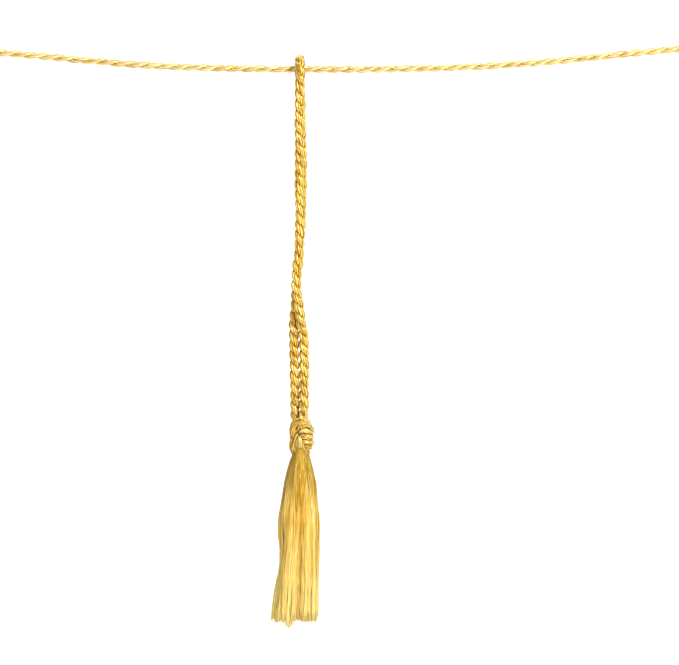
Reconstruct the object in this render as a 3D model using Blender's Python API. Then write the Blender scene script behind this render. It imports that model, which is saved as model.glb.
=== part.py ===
"""A silk tassel hanging by its cord loop over a taut cord line.

One length of two-ply silk cord is folded over the line, both its legs go into one
overhand knot, and below the knot the plies are combed out into a straight fringe.
The line is a thinner cord of the same silk, tied off in a knotted eye at each end.

Sizes are in millimetres, turned into metres by MM. The origin is the bearing point
of the left eye. X runs along the line, Y runs away from the front, and Z is up.
"""

import math

import bmesh
import bpy
from mathutils import Matrix, Vector

MM = 0.001
PIECE_GAP = 0.3

# The tassel's cord and the line, both twisted from two plies, lying as in the letter S.
CORD_DIAMETER = 2.6
CORD_PITCH = 5.5
LINE_DIAMETER = 2.0
LINE_PITCH = 7.9
CORD_STEPS_PER_TURN = 8
LINE_STEPS_PER_TURN = 7

# The section across two plies: angle in degrees, reach as a share of the diameter.
PLY_SECTION = [
    (0.0, 0.50),
    (42.0, 0.375),
    (90.0, 0.15),
    (138.0, 0.375),
]

# Where the tassel hangs on the line.
TASSEL_X = 105.9
TASSEL_Z = -6.63

# The line's route, from the left knot to the right one: x, z.
LINE_ROUTE = [
    (18.8, -1.70),
    (23.5, -2.13),
    (35.8, -3.17),
    (48.0, -4.30),
    (59.5, -5.30),
    (72.6, -6.00),
    (89.0, -6.45),
    (105.9, -6.63),
    (124.5, -6.60),
    (143.6, -6.25),
    (161.3, -5.50),
    (177.7, -4.15),
    (194.1, -2.50),
    (208.8, -1.09),
    (213.2, -0.66),
]

# The loop's route, measured from the line's middle above the tassel: x, y, z.
# It starts above the knot, climbs the rear leg, passes over the line and comes down in front.
LOOP_ROUTE = [
    (-1.60, 1.00, -95.2),
    (-1.78, 0.75, -93.4),
    (-1.86, 0.50, -91.7),
    (-2.02, 0.20, -87.6),
    (-2.13, 0.05, -82.2),
    (-2.21, 0.10, -76.7),
    (-2.15, 0.35, -72.6),
    (-2.24, 0.96, -69.1),
    (-1.86, 1.25, -65.8),
    (-1.58, 1.38, -62.2),
    (-1.47, 1.42, -59.0),
    (-1.20, 1.45, -54.9),
    (-0.82, 1.50, -51.3),
    (-0.50, 1.62, -46.7),
    (-0.25, 1.80, -41.2),
    (-0.05, 2.05, -35.8),
    (0.05, 2.50, -28.9),
    (0.00, 3.10, -22.1),
    (-0.20, 3.95, -15.3),
    (-0.35, 4.70, -9.8),
    (-0.45, 5.10, -5.7),
    (-0.50, 5.20, -2.6),
    (-0.50, 4.50, 0.0),
    (-0.50, 2.60, 1.9),
    (-0.50, 0.00, 2.6),
    (-0.50, -2.60, 1.9),
    (-0.50, -4.50, 0.0),
    (-0.50, -5.20, -2.6),
    (-0.50, -5.10, -5.7),
    (-0.50, -4.70, -9.8),
    (-0.55, -3.95, -15.3),
    (-0.60, -3.10, -22.1),
    (-0.60, -2.50, -28.9),
    (-0.50, -2.05, -35.8),
    (-0.48, -1.80, -41.2),
    (-0.63, -1.62, -46.7),
    (-0.90, -1.50, -51.3),
    (-1.26, -1.45, -54.9),
    (-1.50, -1.42, -59.0),
    (-1.09, -1.38, -62.2),
    (-0.60, -1.25, -65.8),
    (-0.22, -0.96, -69.1),
    (0.56, -0.35, -72.6),
    (0.82, -0.10, -76.7),
    (0.85, -0.05, -82.2),
    (0.76, -0.10, -87.6),
    (0.72, -0.40, -91.7),
    (0.64, -0.55, -93.4),
    (0.52, -0.65, -95.2),
]

# The overhand knot of the doubled cord, measured from its middle in the tassel's cord size.
# x, y, z is the bundle's middle; across_x, across_y, across_z is the way in which its four
# plies lie side by side; flat runs from 0, a round bundle, to 1, a flat band.
KNOT_MIDDLE_Z = -99.9
KNOT_ROUTE = [
    (-0.5, 0.3, 5.6, 0.86, -0.61, 0.0, 1.0),
    (-0.2, 0.5, 4.2, 1.0, -0.5, 0.0, 0.7),
    (0.4, 0.5, 2.6, 1.0, -0.2, 0.0, 0.2),
    (1.1, -0.2, 0.6, 1.0, 0.6, 0.0, 0.1),
    (1.3, -0.8, -1.6, 0.6, 0.6, 0.8, 0.2),
    (0.4, 0.0, -3.0, 0.0, 0.5, 1.0, 0.2),
    (-1.2, 0.8, -2.4, 0.5, 0.8, 0.6, 0.0),
    (-2.1, 0.1, -0.6, 0.3, 1.0, 0.0, 0.1),
    (-2.1, -0.8, 1.0, 0.7, 0.8, 0.0, 0.3),
    (-1.2, -1.6, 2.2, 0.6, 0.3, -0.8, 0.6),
    (0.5, -1.8, 2.0, 0.1, 0.2, -1.0, 0.8),
    (1.9, -1.3, 0.8, 0.2, -0.3, -1.0, 0.9),
    (2.5, 0.15, -0.2, 0.0, 0.0, -1.0, 0.8),
    (1.8, 1.6, -0.5, 0.0, -0.2, -1.0, 0.4),
    (0.3, 1.8, -0.6, 0.0, 0.3, -1.0, 0.2),
    (-0.8, 0.8, -0.6, 0.4, 0.4, -1.0, 0.0),
    (-0.9, -0.7, -0.9, 1.0, 0.0, 0.4, 0.0),
    (-0.7, -1.4, -2.1, 1.0, 0.1, 0.2, 0.1),
    (-0.4, -0.9, -3.6, 1.0, 0.0, 0.0, 0.2),
    (-0.25, -0.2, -4.9, 1.0, 0.0, 0.0, 0.0),
]
# Where each ply lies in a round bundle and in a flat band: bundle u, bundle v, band u.
PLY_PLACES = [
    (-0.5, -0.5, -1.5),
    (-0.5, 0.5, -0.5),
    (0.5, -0.5, 0.5),
    (0.5, 0.5, 1.5),
]
KNOT_PLY_DIAMETER = 1.2
KNOT_PLY_SPACING = 1.1
KNOT_STEP = 0.5
PLY_SIDES = 10
STUB_SIDES = 12
ROOT_SIDES = 20
STRAND_SIDES = 3
KNOT_VOXEL = 0.2
KNOT_FACE_SHARE = 0.12
# Where the two cords enter the knot: x, y, and how far above its middle they are cut off.
STUBS = [
    (-1.60, 1.00),
    (0.52, -0.65),
]
STUB_TOP = 4.4
STUB_FOOT = 2.6
# The stubs are a little thinner than the cord, and lean together towards their feet.
STUB_THICKNESS = 0.94
STUB_FOOT_SHARE = 0.6

# The fringe, measured from the line's middle: z, middle x, half width, half depth.
FRINGE_SECTIONS = [
    (-103.5, -0.28, 0.95, 0.95),
    (-105.0, -0.28, 1.68, 1.58),
    (-110.0, -0.42, 3.65, 3.20),
    (-120.0, -0.70, 5.15, 4.50),
    (-149.4, -1.75, 6.35, 5.50),
]
# The flared root under the knot, which the strands grow from: z, radius.
ROOT_SECTIONS = [
    (-102.6, 1.15),
    (-104.1, 1.30),
    (-104.75, 1.22),
]
# The strands stand in rings round one middle strand. The outermost ring lies at this share
# of the fringe's half width, and a strand's thickness is this share of the ring spacing.
STRAND_RINGS = 7
STRANDS_IN_FIRST_RING = 6
OUTER_RING_REACH = 0.95
STRAND_FILL = 0.8
# Each ring is turned from the last one, and each strand about itself, in radians.
RING_TURN = 0.37
STRAND_TURN = 0.8
# How far the cut ends are off level, and how that varies from strand to strand.
CUT_UNEVEN = 0.7
CUT_WAVES = (2.4, 0.7)

# The eye that ends the line, from its knot's middle: side, depth, outward distance.
EYE_ROUTE = [
    (-0.5, -0.2, 1.6),
    (-0.6, -0.3, 3.4),
    (-1.5, -0.4, 5.6),
    (-3.0, -0.5, 8.6),
    (-3.75, -0.5, 11.8),
    (-2.6, -0.5, 14.9),
    (0.4, -0.5, 16.2),
    (3.4, -0.5, 14.9),
    (4.55, -0.5, 11.8),
    (3.8, -0.5, 8.6),
    (2.3, -0.4, 5.6),
    (1.4, -0.3, 3.4),
    (1.3, -0.2, 1.6),
]
EYE_KNOT_VOXEL = 0.24
EYE_KNOT_FACE_SHARE = 0.10

# Faces meet smoothly up to this angle, and routes are read this finely between their points.
SMOOTH_ANGLE = 75.0
ROUTE_READINGS = 12
KNOT_READINGS = 8
WELD_DISTANCE = 1e-7

SILK = {"colour": (0.80, 0.52, 0.16, 1.0), "roughness": 0.38, "metallic": 0.0}
LINE_SILK = {"colour": (0.74, 0.48, 0.16, 1.0), "roughness": 0.45, "metallic": 0.0}


def clear_scene():
    for obj in list(bpy.data.objects):
        bpy.data.objects.remove(obj, do_unlink=True)


def silk_material(name, finish):
    material = bpy.data.materials.new(name)
    material.use_nodes = True
    shader = material.node_tree.nodes["Principled BSDF"]
    shader.inputs["Base Color"].default_value = finish["colour"]
    shader.inputs["Roughness"].default_value = finish["roughness"]
    shader.inputs["Metallic"].default_value = finish["metallic"]
    material.diffuse_color = finish["colour"]
    return material


def smooth_rows(rows, steps):
    """Rows read from a Catmull-Rom curve that passes through every given row."""
    rows = [Vector(row) for row in rows]
    first = rows[0] * 2 - rows[1]
    last = rows[-1] * 2 - rows[-2]
    knots = [first] + rows + [last]
    result = []
    for before, start, end, after in zip(knots, knots[1:], knots[2:], knots[3:]):
        for i in range(steps):
            t = i / steps
            result.append(
                (
                    start * 2
                    + (end - before) * t
                    + (before * 2 - start * 5 + end * 4 - after) * t * t
                    + (start * 3 - before - end * 3 + after) * t * t * t
                )
                / 2
            )
    return result + [rows[-1]]


def even_rows(rows, step):
    """Rows about one step apart along the path of their first three columns."""
    lengths = [0.0]
    for a, b in zip(rows, rows[1:]):
        lengths.append(lengths[-1] + (Vector(b[:3]) - Vector(a[:3])).length)
    count = max(2, round(lengths[-1] / step))
    result = []
    at = 0
    for i in range(count + 1):
        want = lengths[-1] * i / count
        while at < len(rows) - 2 and lengths[at + 1] < want:
            at += 1
        span = lengths[at + 1] - lengths[at]
        result.append(rows[at].lerp(rows[at + 1], (want - lengths[at]) / span))
    return result


def profile_curve(name, points):
    """A closed outline that guides a sweep and is itself no part of the object."""
    curve = bpy.data.curves.new(name, "CURVE")
    curve.dimensions = "2D"
    spline = curve.splines.new("POLY")
    spline.points.add(len(points) - 1)
    for point, (x, y) in zip(spline.points, points):
        point.co = (x * MM, y * MM, 0.0, 1.0)
    spline.use_cyclic_u = True
    guide = bpy.data.objects.new(name, curve)
    guide.hide_render = True
    guide.display_type = "WIRE"
    bpy.context.collection.objects.link(guide)
    return guide


def sweep(name, paths, profile):
    """A mesh object that carries the profile along each path of (point, size, turn)."""
    curve = bpy.data.curves.new(name + "_path", "CURVE")
    curve.dimensions = "3D"
    curve.twist_mode = "MINIMUM"
    curve.bevel_mode = "OBJECT"
    curve.bevel_object = profile
    curve.use_fill_caps = True
    for path in paths:
        spline = curve.splines.new("POLY")
        spline.points.add(len(path) - 1)
        for point, (place, size, turn) in zip(spline.points, path):
            point.co = (*(place * MM), 1.0)
            point.radius = size
            point.tilt = turn
    carrier = bpy.data.objects.new(name + "_path", curve)
    bpy.context.collection.objects.link(carrier)
    mesh = mesh_of(carrier)
    bpy.data.objects.remove(carrier, do_unlink=True)
    return mesh_object(name, mesh)


def mesh_of(obj):
    bpy.context.view_layer.update()
    depsgraph = bpy.context.evaluated_depsgraph_get()
    return bpy.data.meshes.new_from_object(obj.evaluated_get(depsgraph))


def mesh_object(name, mesh):
    """An object whose faces are welded and all point outwards."""
    shape = bmesh.new()
    shape.from_mesh(mesh)
    bmesh.ops.remove_doubles(shape, verts=shape.verts, dist=WELD_DISTANCE)
    bmesh.ops.recalc_face_normals(shape, faces=shape.faces)
    shape.to_mesh(mesh)
    shape.free()
    mesh.name = name
    obj = bpy.data.objects.new(name, mesh)
    bpy.context.collection.objects.link(obj)
    return obj


def twisted_path(route, pitch, steps_per_turn, place):
    """The route with one whole turn of the plies for each pitch, the S way round."""
    step = pitch / steps_per_turn
    rows = even_rows(smooth_rows(route, ROUTE_READINGS), step)
    turn = -2 * math.pi / steps_per_turn
    return [(row + place, 1.0, i * turn) for i, row in enumerate(rows)]


def ply_section(diameter):
    """The outline across both plies, of which the table gives one half."""
    half = []
    for degrees, reach in PLY_SECTION:
        angle = math.radians(degrees)
        half.append((diameter * reach * math.cos(angle), diameter * reach * math.sin(angle)))
    return half + [(-x, -y) for x, y in half]


def circle_section(diameter, sides):
    """A regular outline with its corners on the circle."""
    angles = [2 * math.pi * i / sides for i in range(sides)]
    return [(diameter / 2 * math.cos(angle), diameter / 2 * math.sin(angle)) for angle in angles]


def knot_plies(cord_diameter):
    """The paths of the knot's four plies, in millimetres about the knot's middle."""
    scale = cord_diameter / CORD_DIAMETER
    rows = even_rows(smooth_rows(KNOT_ROUTE, KNOT_READINGS), KNOT_STEP)
    paths = [[] for _ in PLY_PLACES]
    for i, row in enumerate(rows):
        before = Vector(rows[max(i - 1, 0)][:3])
        after = Vector(rows[min(i + 1, len(rows) - 1)][:3])
        along = (after - before).normalized()
        across = Vector(row[3:6])
        across = (across - along * across.dot(along)).normalized()
        normal = along.cross(across)
        flat = row[6]
        for path, (bundle_u, bundle_v, band_u) in zip(paths, PLY_PLACES):
            u = bundle_u + (band_u - bundle_u) * flat
            v = bundle_v * (1 - flat)
            offset = (across * u + normal * v) * KNOT_PLY_SPACING
            path.append((Vector(row[:3]) + offset) * scale)
    return paths


def join(name, objects):
    """One mesh object that holds the given objects' meshes."""
    whole = bmesh.new()
    for obj in objects:
        obj.data.transform(obj.matrix_world)
        whole.from_mesh(obj.data)
        bpy.data.objects.remove(obj, do_unlink=True)
    mesh = bpy.data.meshes.new(name)
    whole.to_mesh(mesh)
    whole.free()
    joined = bpy.data.objects.new(name, mesh)
    bpy.context.collection.objects.link(joined)
    return joined


def keep_outer_shell(mesh):
    """Delete every loose part of the mesh but the largest."""
    shape = bmesh.new()
    shape.from_mesh(mesh)
    unseen = set(shape.verts)
    parts = []
    while unseen:
        seed = unseen.pop()
        part = {seed}
        waiting = [seed]
        while waiting:
            vertex = waiting.pop()
            for edge in vertex.link_edges:
                other = edge.other_vert(vertex)
                if other in unseen:
                    unseen.remove(other)
                    part.add(other)
                    waiting.append(other)
        parts.append(part)
    parts.sort(key=len)
    for part in parts[:-1]:
        bmesh.ops.delete(shape, geom=list(part), context="VERTS")
    shape.to_mesh(mesh)
    shape.free()


def fuse(name, objects, voxel, face_share):
    """The joined shape of overlapping plies as one closed skin."""
    lump = join(name + "_plies", objects)
    remesh = lump.modifiers.new("Fuse", "REMESH")
    remesh.mode = "VOXEL"
    remesh.voxel_size = voxel * MM
    mesh = mesh_of(lump)
    bpy.data.objects.remove(lump, do_unlink=True)
    keep_outer_shell(mesh)
    fused = bpy.data.objects.new(name + "_fused", mesh)
    bpy.context.collection.objects.link(fused)
    thin = fused.modifiers.new("Thin out", "DECIMATE")
    thin.ratio = face_share
    thin_mesh = mesh_of(fused)
    bpy.data.objects.remove(fused, do_unlink=True)
    return mesh_object(name, thin_mesh)


def cut_flat(obj, height):
    """Cut the object level at the height and close the cut."""
    shape = bmesh.new()
    shape.from_mesh(obj.data)
    cut = bmesh.ops.bisect_plane(
        shape,
        geom=list(shape.verts) + list(shape.edges) + list(shape.faces),
        plane_co=(0.0, 0.0, height * MM),
        plane_no=(0.0, 0.0, 1.0),
        clear_outer=True,
    )
    edges = [item for item in cut["geom_cut"] if isinstance(item, bmesh.types.BMEdge)]
    bmesh.ops.holes_fill(shape, edges=edges)
    bmesh.ops.triangulate(shape, faces=shape.faces)
    shape.to_mesh(obj.data)
    shape.free()


def unite(obj, other):
    """Add another closed shape to the object."""
    union = obj.modifiers.new("Unite", "BOOLEAN")
    union.operation = "UNION"
    union.solver = "EXACT"
    union.object = other
    mesh = mesh_of(obj)
    obj.modifiers.clear()
    bpy.data.objects.remove(other, do_unlink=True)
    name = obj.name
    bpy.data.objects.remove(obj, do_unlink=True)
    return mesh_object(name, mesh)


def finish(obj, material):
    obj.data.materials.clear()
    obj.data.materials.append(material)
    obj.data.shade_smooth()
    obj.data.set_sharp_from_angle(angle=math.radians(SMOOTH_ANGLE))
    return obj


def hanging_loop(material, section):
    place = Vector((TASSEL_X, 0.0, TASSEL_Z))
    path = twisted_path(LOOP_ROUTE, CORD_PITCH, CORD_STEPS_PER_TURN, place)
    return finish(sweep("hanging_loop", [path], section), material)


def hanging_line(material, section):
    route = [(x, 0.0, z) for x, z in LINE_ROUTE]
    path = twisted_path(route, LINE_PITCH, LINE_STEPS_PER_TURN, Vector((0.0, 0.0, 0.0)))
    return finish(sweep("hanging_line", [path], section), material)


def strand_places():
    """Where the strands stand in a section of the fringe: x and y from -1 to 1."""
    places = [(0.0, 0.0)]
    for ring in range(1, STRAND_RINGS + 1):
        count = ring * STRANDS_IN_FIRST_RING
        for i in range(count):
            angle = 2 * math.pi * (i / count) + ring * RING_TURN
            reach = ring / STRAND_RINGS * OUTER_RING_REACH
            places.append((reach * math.cos(angle), reach * math.sin(angle)))
    return places


def fringe_strands(section):
    """The combed strands, apart from each other all the way down."""
    spacing = OUTER_RING_REACH / STRAND_RINGS
    slow, fast = CUT_WAVES
    place = Vector((TASSEL_X, 0.0, TASSEL_Z))
    paths = []
    for number, (u, v) in enumerate(strand_places()):
        path = []
        for row, (z, middle, half_width, half_depth) in enumerate(FRINGE_SECTIONS):
            if row == len(FRINGE_SECTIONS) - 1:
                z += CUT_UNEVEN * math.sin(number * slow) * math.cos(number * fast)
            point = Vector((middle + half_width * u, half_depth * v, z)) + place
            size = spacing * min(half_width, half_depth) * STRAND_FILL
            path.append((point, size, number * STRAND_TURN))
        paths.append(path)
    return sweep("strands", paths, section)


def fused_knot(name, cord_diameter, more, voxel, face_share):
    """An overhand knot of a doubled cord about its own middle, with both cords' stubs."""
    scale = cord_diameter / CORD_DIAMETER
    ply_outline = circle_section(KNOT_PLY_DIAMETER * scale, PLY_SIDES)
    stub_outline = circle_section(cord_diameter * STUB_THICKNESS, STUB_SIDES)
    ply_profile = profile_curve("ply_section", ply_outline)
    stub_profile = profile_curve("stub_section", stub_outline)
    plies = [[(point, 1.0, 0.0) for point in path] for path in knot_plies(cord_diameter)]
    stubs = []
    for x, y in STUBS:
        top = Vector((x, y, STUB_TOP + PIECE_GAP)) * scale
        foot = Vector((x * STUB_FOOT_SHARE, y, STUB_FOOT)) * scale
        stubs.append([(top, 1.0, 0.0), (foot, 1.0, 0.0)])
    pieces = [sweep("plies", plies, ply_profile), sweep("stubs", stubs, stub_profile)]
    knot = fuse(name, pieces + more, voxel, face_share)
    cut_flat(knot, STUB_TOP * scale)
    for guide in (ply_profile, stub_profile):
        bpy.data.objects.remove(guide, do_unlink=True)
    return knot


def fringe_root():
    """The flare under the knot, measured from the knot's middle."""
    profile = profile_curve("root_section", circle_section(2.0, ROOT_SIDES))
    middle_x = FRINGE_SECTIONS[0][1]
    path = []
    for z, radius in ROOT_SECTIONS:
        path.append((Vector((middle_x, 0.0, z - KNOT_MIDDLE_Z)), radius, 0.0))
    root = sweep("root", [path], profile)
    bpy.data.objects.remove(profile, do_unlink=True)
    return root


def knot_and_fringe(material):
    """The tassel's knot, with the fringe's strands fused into the flare below it."""
    more = [fringe_root()]
    knot = fused_knot("knot_and_fringe", CORD_DIAMETER, more, KNOT_VOXEL, KNOT_FACE_SHARE)
    middle = Vector((TASSEL_X, 0.0, TASSEL_Z + KNOT_MIDDLE_Z)) * MM
    knot.data.transform(Matrix.Translation(middle))
    strand_profile = profile_curve("strand_section", circle_section(1.0, STRAND_SIDES))
    knot = unite(knot, fringe_strands(strand_profile))
    bpy.data.objects.remove(strand_profile, do_unlink=True)
    knot.name = "knot_and_fringe"
    return finish(knot, material)


def line_eye(name, material, section, end, inner):
    """A knotted eye beyond the line's end. inner is the route's next point along the line."""
    knot = fused_knot(name, LINE_DIAMETER, [], EYE_KNOT_VOXEL, EYE_KNOT_FACE_SHARE)
    route = [(side, depth, -outward) for side, depth, outward in EYE_ROUTE]
    path = twisted_path(route, LINE_PITCH, LINE_STEPS_PER_TURN, Vector((0.0, 0.0, 0.0)))
    eye = unite(knot, sweep("eye", [path], section))
    scale = LINE_DIAMETER / CORD_DIAMETER
    stub_x, stub_y = STUBS[1]
    stub_end = Vector((stub_x, stub_y, STUB_TOP)) * scale + Vector((0.0, 0.0, PIECE_GAP))
    along = (Vector((inner[0], 0.0, inner[1])) - Vector((end[0], 0.0, end[1]))).normalized()
    depth = Vector((0.0, 1.0, 0.0))
    turn = Matrix((depth.cross(along), depth, along)).transposed()
    place = Vector((end[0], 0.0, end[1])) - turn @ stub_end
    eye.data.transform(Matrix.Translation(place * MM) @ turn.to_4x4())
    eye.name = name
    return finish(eye, material)


def main():
    clear_scene()
    silk = silk_material("gold silk", SILK)
    line_silk = silk_material("gold silk, thin cord", LINE_SILK)
    cord_section = profile_curve("cord_section", ply_section(CORD_DIAMETER))
    line_section = profile_curve("line_section", ply_section(LINE_DIAMETER))
    hanging_loop(silk, cord_section)
    knot_and_fringe(silk)
    hanging_line(line_silk, line_section)
    line_eye("line_eye_left", line_silk, line_section, LINE_ROUTE[0], LINE_ROUTE[1])
    line_eye("line_eye_right", line_silk, line_section, LINE_ROUTE[-1], LINE_ROUTE[-2])
    for guide in (cord_section, line_section):
        bpy.data.objects.remove(guide, do_unlink=True)


main()
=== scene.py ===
"""Looks of the silk tassel and the cord line it hangs on: twisted silk cords, the tied knot
and the combed fringe, thread by thread, with their gold silk finish and a plain studio.

Sizes in the tables are in millimetres and are turned into metres by MM.
"""

import math
import random

import bmesh
import bpy
from mathutils import Matrix, Vector, noise
from mathutils.bvhtree import BVHTree


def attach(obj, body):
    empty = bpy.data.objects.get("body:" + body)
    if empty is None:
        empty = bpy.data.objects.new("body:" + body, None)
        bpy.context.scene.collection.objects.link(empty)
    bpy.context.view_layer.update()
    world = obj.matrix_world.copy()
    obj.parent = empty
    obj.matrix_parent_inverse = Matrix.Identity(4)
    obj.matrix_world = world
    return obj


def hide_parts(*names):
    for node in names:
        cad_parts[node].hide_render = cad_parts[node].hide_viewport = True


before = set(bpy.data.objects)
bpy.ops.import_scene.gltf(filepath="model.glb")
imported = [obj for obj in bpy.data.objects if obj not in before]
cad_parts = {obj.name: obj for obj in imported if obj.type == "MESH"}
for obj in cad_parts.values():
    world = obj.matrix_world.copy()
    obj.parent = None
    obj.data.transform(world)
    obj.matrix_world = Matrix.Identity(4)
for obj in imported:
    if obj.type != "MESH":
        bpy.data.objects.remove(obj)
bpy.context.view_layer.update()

bl_info = {
    "name": "Silk Tassel",
    "version": (1, 0, 0),
    "blender": (4, 5, 0),
    "location": "3D View > Sidebar > Tassel",
    "description": "Builds a silk tassel with its twisted cords, knot and fringe",
    "category": "Object",
}

MM = 0.001
BODY = "root"
GOLDEN_ANGLE = math.pi * (3 - math.sqrt(5))

# The middle and the width of the photograph's view of the object.
VIEW_CENTRE = (116.2, 0.0, -78.5)
VIEW_WIDTH = 185.4
VIEW_DISTANCE = 1000.0

# Where the tassel hangs on the line.
TASSEL_PLACE = Vector((105.9, 0.0, -6.63))

# The line's route, from the left knot to the right one: x, z.
LINE_ROUTE = [
    (18.8, -1.70), (23.5, -2.13), (35.8, -3.17), (48.0, -4.30), (59.5, -5.30),
    (72.6, -6.00), (89.0, -6.45), (105.9, -6.63), (124.5, -6.60), (143.6, -6.25),
    (161.3, -5.50), (177.7, -4.15), (194.1, -2.50), (208.8, -1.09), (213.2, -0.66),
]

# The loop's route, measured from the line's middle above the tassel: x, y, z.
# It starts in the knot, climbs the rear leg, passes over the line and comes down in front.
LOOP_ROUTE = [
    (-0.70, 0.60, -97.6), (-1.60, 1.00, -95.2), (-1.78, 0.75, -93.4), (-1.80, 0.50, -91.7),
    (-1.88, 0.20, -87.6), (-1.96, 0.05, -82.2), (-2.08, 0.10, -76.7), (-2.15, 0.35, -72.6),
    (-2.24, 0.96, -69.1), (-1.86, 1.25, -65.8), (-1.58, 1.38, -62.2), (-1.47, 1.42, -59.0),
    (-1.20, 1.45, -54.9), (-0.82, 1.50, -51.3), (-0.50, 1.62, -46.7), (-0.25, 1.80, -41.2),
    (-0.05, 2.05, -35.8), (0.05, 2.50, -28.9), (0.00, 3.10, -22.1), (-0.20, 3.95, -15.3),
    (-0.35, 4.70, -9.8), (-0.45, 5.10, -5.7), (-0.50, 5.20, -2.6), (-0.50, 4.50, 0.0),
    (-0.50, 2.60, 1.9), (-0.50, 0.00, 2.6), (-0.50, -2.60, 1.9), (-0.50, -4.50, 0.0),
    (-0.50, -5.20, -2.6), (-0.50, -5.10, -5.7), (-0.50, -4.70, -9.8), (-0.55, -3.95, -15.3),
    (-0.60, -3.10, -22.1), (-0.60, -2.50, -28.9), (-0.50, -2.05, -35.8), (-0.48, -1.80, -41.2),
    (-0.63, -1.62, -46.7), (-0.90, -1.50, -51.3), (-1.26, -1.45, -54.9), (-1.50, -1.42, -59.0),
    (-1.09, -1.38, -62.2), (-0.60, -1.25, -65.8), (-0.22, -0.96, -69.1), (0.56, -0.35, -72.6),
    (0.70, -0.10, -76.7), (0.69, -0.05, -82.2), (0.64, -0.10, -87.6), (0.66, -0.40, -91.7),
    (0.64, -0.55, -93.4), (0.52, -0.65, -95.2), (0.50, -0.70, -97.4),
]

# The overhand knot of the doubled cord, measured from its middle in the tassel's cord size.
# x, y, z is the bundle's middle; across_x, across_y, across_z is the way in which its four
# plies lie side by side; flat runs from 0, a round bundle, to 1, a flat band.
KNOT_MIDDLE_Z = -99.9
KNOT_ROUTE = [
    (-0.5, 0.3, 5.6, 0.86, -0.61, 0.0, 1.0),
    (-0.2, 0.5, 4.2, 1.0, -0.5, 0.0, 0.7),
    (0.4, 0.5, 2.6, 1.0, -0.2, 0.0, 0.2),
    (1.1, -0.2, 0.6, 1.0, 0.6, 0.0, 0.1),
    (1.3, -0.8, -1.6, 0.6, 0.6, 0.8, 0.2),
    (0.4, 0.0, -3.0, 0.0, 0.5, 1.0, 0.2),
    (-1.2, 0.8, -2.4, 0.5, 0.8, 0.6, 0.0),
    (-2.1, 0.1, -0.6, 0.3, 1.0, 0.0, 0.1),
    (-2.1, -0.8, 1.0, 0.7, 0.8, 0.0, 0.3),
    (-1.2, -1.6, 2.2, 0.6, 0.3, -0.8, 0.6),
    (0.5, -1.8, 2.0, 0.1, 0.2, -1.0, 0.8),
    (1.9, -1.3, 0.8, 0.2, -0.3, -1.0, 0.9),
    (2.5, 0.15, -0.2, 0.0, 0.0, -1.0, 0.8),
    (1.8, 1.6, -0.5, 0.0, -0.2, -1.0, 0.4),
    (0.3, 1.8, -0.6, 0.0, 0.3, -1.0, 0.2),
    (-0.8, 0.8, -0.6, 0.4, 0.4, -1.0, 0.0),
    (-0.9, -0.7, -0.9, 1.0, 0.0, 0.4, 0.0),
    (-0.7, -1.4, -2.1, 1.0, 0.1, 0.2, 0.1),
    (-0.4, -0.9, -3.6, 1.0, 0.0, 0.0, 0.2),
    (-0.25, -0.2, -4.9, 1.0, 0.0, 0.0, 0.0),
]
# Where each ply lies in a round bundle and in a flat band: bundle u, bundle v, band u.
PLY_PLACES = [(-0.5, -0.5, -1.5), (-0.5, 0.5, -0.5), (0.5, -0.5, 0.5), (0.5, 0.5, 1.5)]
KNOT_PLY_SPACING = 1.1
# The base of the knot lies a little inside the plies drawn out on its front.
KNOT_BASE_SCALE = 0.9
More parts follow.
